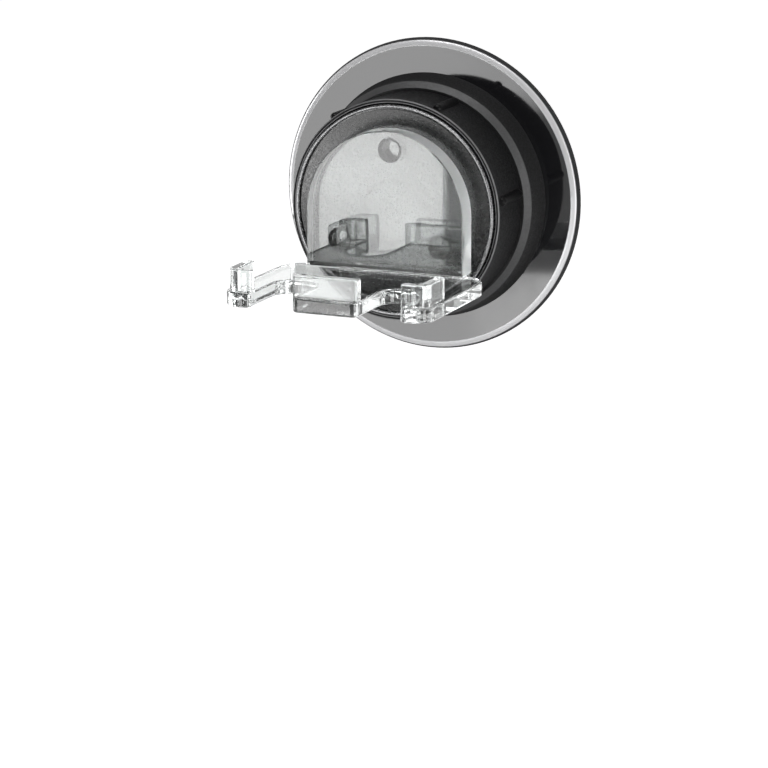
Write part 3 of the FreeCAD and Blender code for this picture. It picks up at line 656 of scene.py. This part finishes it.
def aimed(item, target):
    """Turn a camera or a light towards a point."""
    item.rotation_mode = "QUATERNION"
    item.rotation_quaternion = (Vector(target) - item.location).to_track_quat("-Z", "Y")


def add_camera(context, studio):
    camera = bpy.data.objects.new("camera", bpy.data.cameras.new("camera"))
    context.scene.collection.objects.link(camera)
    camera.data.lens = studio.lens
    camera.data.sensor_width = SENSOR_WIDTH
    camera.location = around(studio.camera_turn, studio.camera_rise, studio.camera_distance)
    aimed(camera, studio.camera_aim)
    context.scene.camera = camera


def add_softbox(context, name, turn, rise, distance, edges, brightness):
    """A softbox that faces the object, its edges as seen from there."""
    left, right, low, high = edges
    light = bpy.data.lights.new(name, "AREA")
    light.shape = "RECTANGLE"
    light.size = right - left
    light.size_y = high - low
    light.energy = brightness * math.pi * light.size * light.size_y
    box = bpy.data.objects.new(name, light)
    context.scene.collection.objects.link(box)
    box.location = around(math.radians(turn), math.radians(rise), distance)
    box.visible_camera = False
    aimed(box, (0.0, 0.0, 0.0))
    middle = Vector(((left + right) / 2, (low + high) / 2, 0.0))
    box.location += box.rotation_quaternion @ middle


# a count of mirror turns below this is none
NO_TURN_BELOW = 0.5


def background_rays(tree):
    """A mask of rays that see the background straight or through clear plastic, and one for gloss."""
    path = add_node(tree, "ShaderNodeLightPath").outputs
    unturned = calc(tree, "LESS_THAN", path["Glossy Depth"], NO_TURN_BELOW)
    clear = calc(tree, "MULTIPLY", path["Is Transmission Ray"], unturned)
    through = calc(tree, "MAXIMUM", path["Is Camera Ray"], clear)
    return through, calc(tree, "MAXIMUM", path["Is Glossy Ray"], path["Is Transmission Ray"])


def pale_floor(studio):
    """A pale matt floor that shows white, and keeps a soft shadow."""
    material = bpy.data.materials.new("pale_floor")
    material.use_nodes = True
    tree = material.node_tree
    tree.nodes.clear()
    through, glossy = background_rays(tree)
    shown = calc(tree, "MAXIMUM", through, glossy)
    matt = add_node(tree, "ShaderNodeBsdfDiffuse", {"Color": studio.floor_colour})
    away = add_node(tree, "ShaderNodeVectorMath", {"Vector": place_of(tree)}, operation="LENGTH")
    glow = blend_value(tree, away.outputs["Value"], studio.glow_start, studio.glow_end,
                       studio.near_glow, studio.far_glow)
    white = add_node(tree, "ShaderNodeEmission", {"Color": WHITE, "Strength": glow})
    both = add_node(tree, "ShaderNodeAddShader")
    tree.links.new(matt.outputs[0], both.inputs[0])
    tree.links.new(white.outputs[0], both.inputs[1])
    pick = add_node(tree, "ShaderNodeMixShader", {"Fac": shown})
    tree.links.new(matt.outputs[0], pick.inputs[1])
    tree.links.new(both.outputs[0], pick.inputs[2])
    out = add_node(tree, "ShaderNodeOutputMaterial")
    tree.links.new(pick.outputs[0], out.inputs["Surface"])
    return material


def add_floor(context, studio):
    mesh = bpy.data.meshes.new("floor")
    half = studio.floor_size / 2
    square = ((-half, -half), (half, -half), (half, half), (-half, half))
    mesh.from_pydata([(x, y, studio.floor_height) for x, y in square], [], [(0, 1, 2, 3)])
    floor = bpy.data.objects.new("floor", mesh)
    context.scene.collection.objects.link(floor)
    mesh.materials.append(pale_floor(studio))


# how far a mirrored direction points to the back where the dim room ends, and where all is white
DIM_END, ALL_WHITE = 0.2, 0.9


def light_world(context, studio):
    """White behind the object, also for gloss, dim light all round, and a dim room in front."""
    world = bpy.data.worlds.new("studio")
    context.scene.world = world
    world.use_nodes = True
    tree = world.node_tree
    tree.nodes.clear()
    through, glossy = background_rays(tree)
    way = add_node(tree, "ShaderNodeTexCoord").outputs["Generated"]
    back = add_node(tree, "ShaderNodeSeparateXYZ", {"Vector": way}).outputs["Y"]
    mirrored = blend_value(tree, back, DIM_END, ALL_WHITE, studio.dim_front, 1.0)
    room = blend_value(tree, glossy, 0.0, 1.0, studio.ambient, mirrored)
    shown = blend_value(tree, through, 0.0, 1.0, room, 1.0)
    light = add_node(tree, "ShaderNodeBackground", {"Color": WHITE, "Strength": shown})
    out = add_node(tree, "ShaderNodeOutputWorld")
    tree.links.new(light.outputs[0], out.inputs["Surface"])


class HOLDER_OT_studio(bpy.types.Operator):
    """Set up the floor, the soft lights and the camera"""

    bl_idname = "holder.studio"
    bl_label = "Studio"

    def execute(self, context):
        studio = context.scene.holder_studio
        add_floor(context, studio)
        light_world(context, studio)
        for softbox in SOFTBOXES:
            add_softbox(context, *softbox)
        add_camera(context, studio)
        context.scene.view_settings.view_transform = "Standard"
        for limit in ("max_bounces", "glossy_bounces", "transmission_bounces"):
            setattr(context.scene.cycles, limit, studio.light_bounces)
        return {"FINISHED"}


class HOLDER_PT_panel(bpy.types.Panel):
    """Lists the holder's pieces and the studio."""

    bl_idname = "HOLDER_PT_panel"
    bl_label = "Toothbrush Holder"
    bl_space_type = "VIEW_3D"
    bl_region_type = "UI"
    bl_category = "Holder"

    def draw(self, context):
        for label, settings, operators in SECTIONS:
            box = self.layout.box()
            box.label(text=label)
            group = getattr(context.scene, settings)
            for name in group.bl_rna.properties.keys():
                if name not in {"rna_type", "name"}:
                    box.prop(group, name)
            for operator in operators:
                box.operator(operator.bl_idname)


SECTIONS = (
    ("Pad", "holder_pad", (HOLDER_OT_suction_pad,)),
    ("Blacks", "holder_blacks", (HOLDER_OT_gloss_disc, HOLDER_OT_textured_shells)),
    ("Rack", "holder_rack", (HOLDER_OT_clear_rack,)),
    ("Inside", "holder_inside", (HOLDER_OT_mechanism,)),
    ("Studio", "holder_studio", (HOLDER_OT_studio,)),
)
SETTINGS = {
    "holder_pad": HolderPad,
    "holder_blacks": HolderBlacks,
    "holder_rack": HolderRack,
    "holder_inside": HolderInside,
    "holder_studio": HolderStudio,
}
OPERATORS = tuple(operator for _label, _settings, operators in SECTIONS for operator in operators)


def register():
    for kind in (*SETTINGS.values(), *OPERATORS, HOLDER_PT_panel):
        bpy.utils.register_class(kind)
    for name, kind in SETTINGS.items():
        setattr(bpy.types.Scene, name, PointerProperty(type=kind))


def unregister():
    for name in SETTINGS:
        delattr(bpy.types.Scene, name)
    for kind in reversed((*SETTINGS.values(), *OPERATORS, HOLDER_PT_panel)):
        bpy.utils.unregister_class(kind)


def main():
    register()
    bpy.ops.holder.suction_pad()
    bpy.ops.holder.gloss_disc()
    bpy.ops.holder.textured_shells()
    bpy.ops.holder.clear_rack()
    bpy.ops.holder.mechanism()
    bpy.ops.holder.studio()


if __name__ == "__main__":
    main()
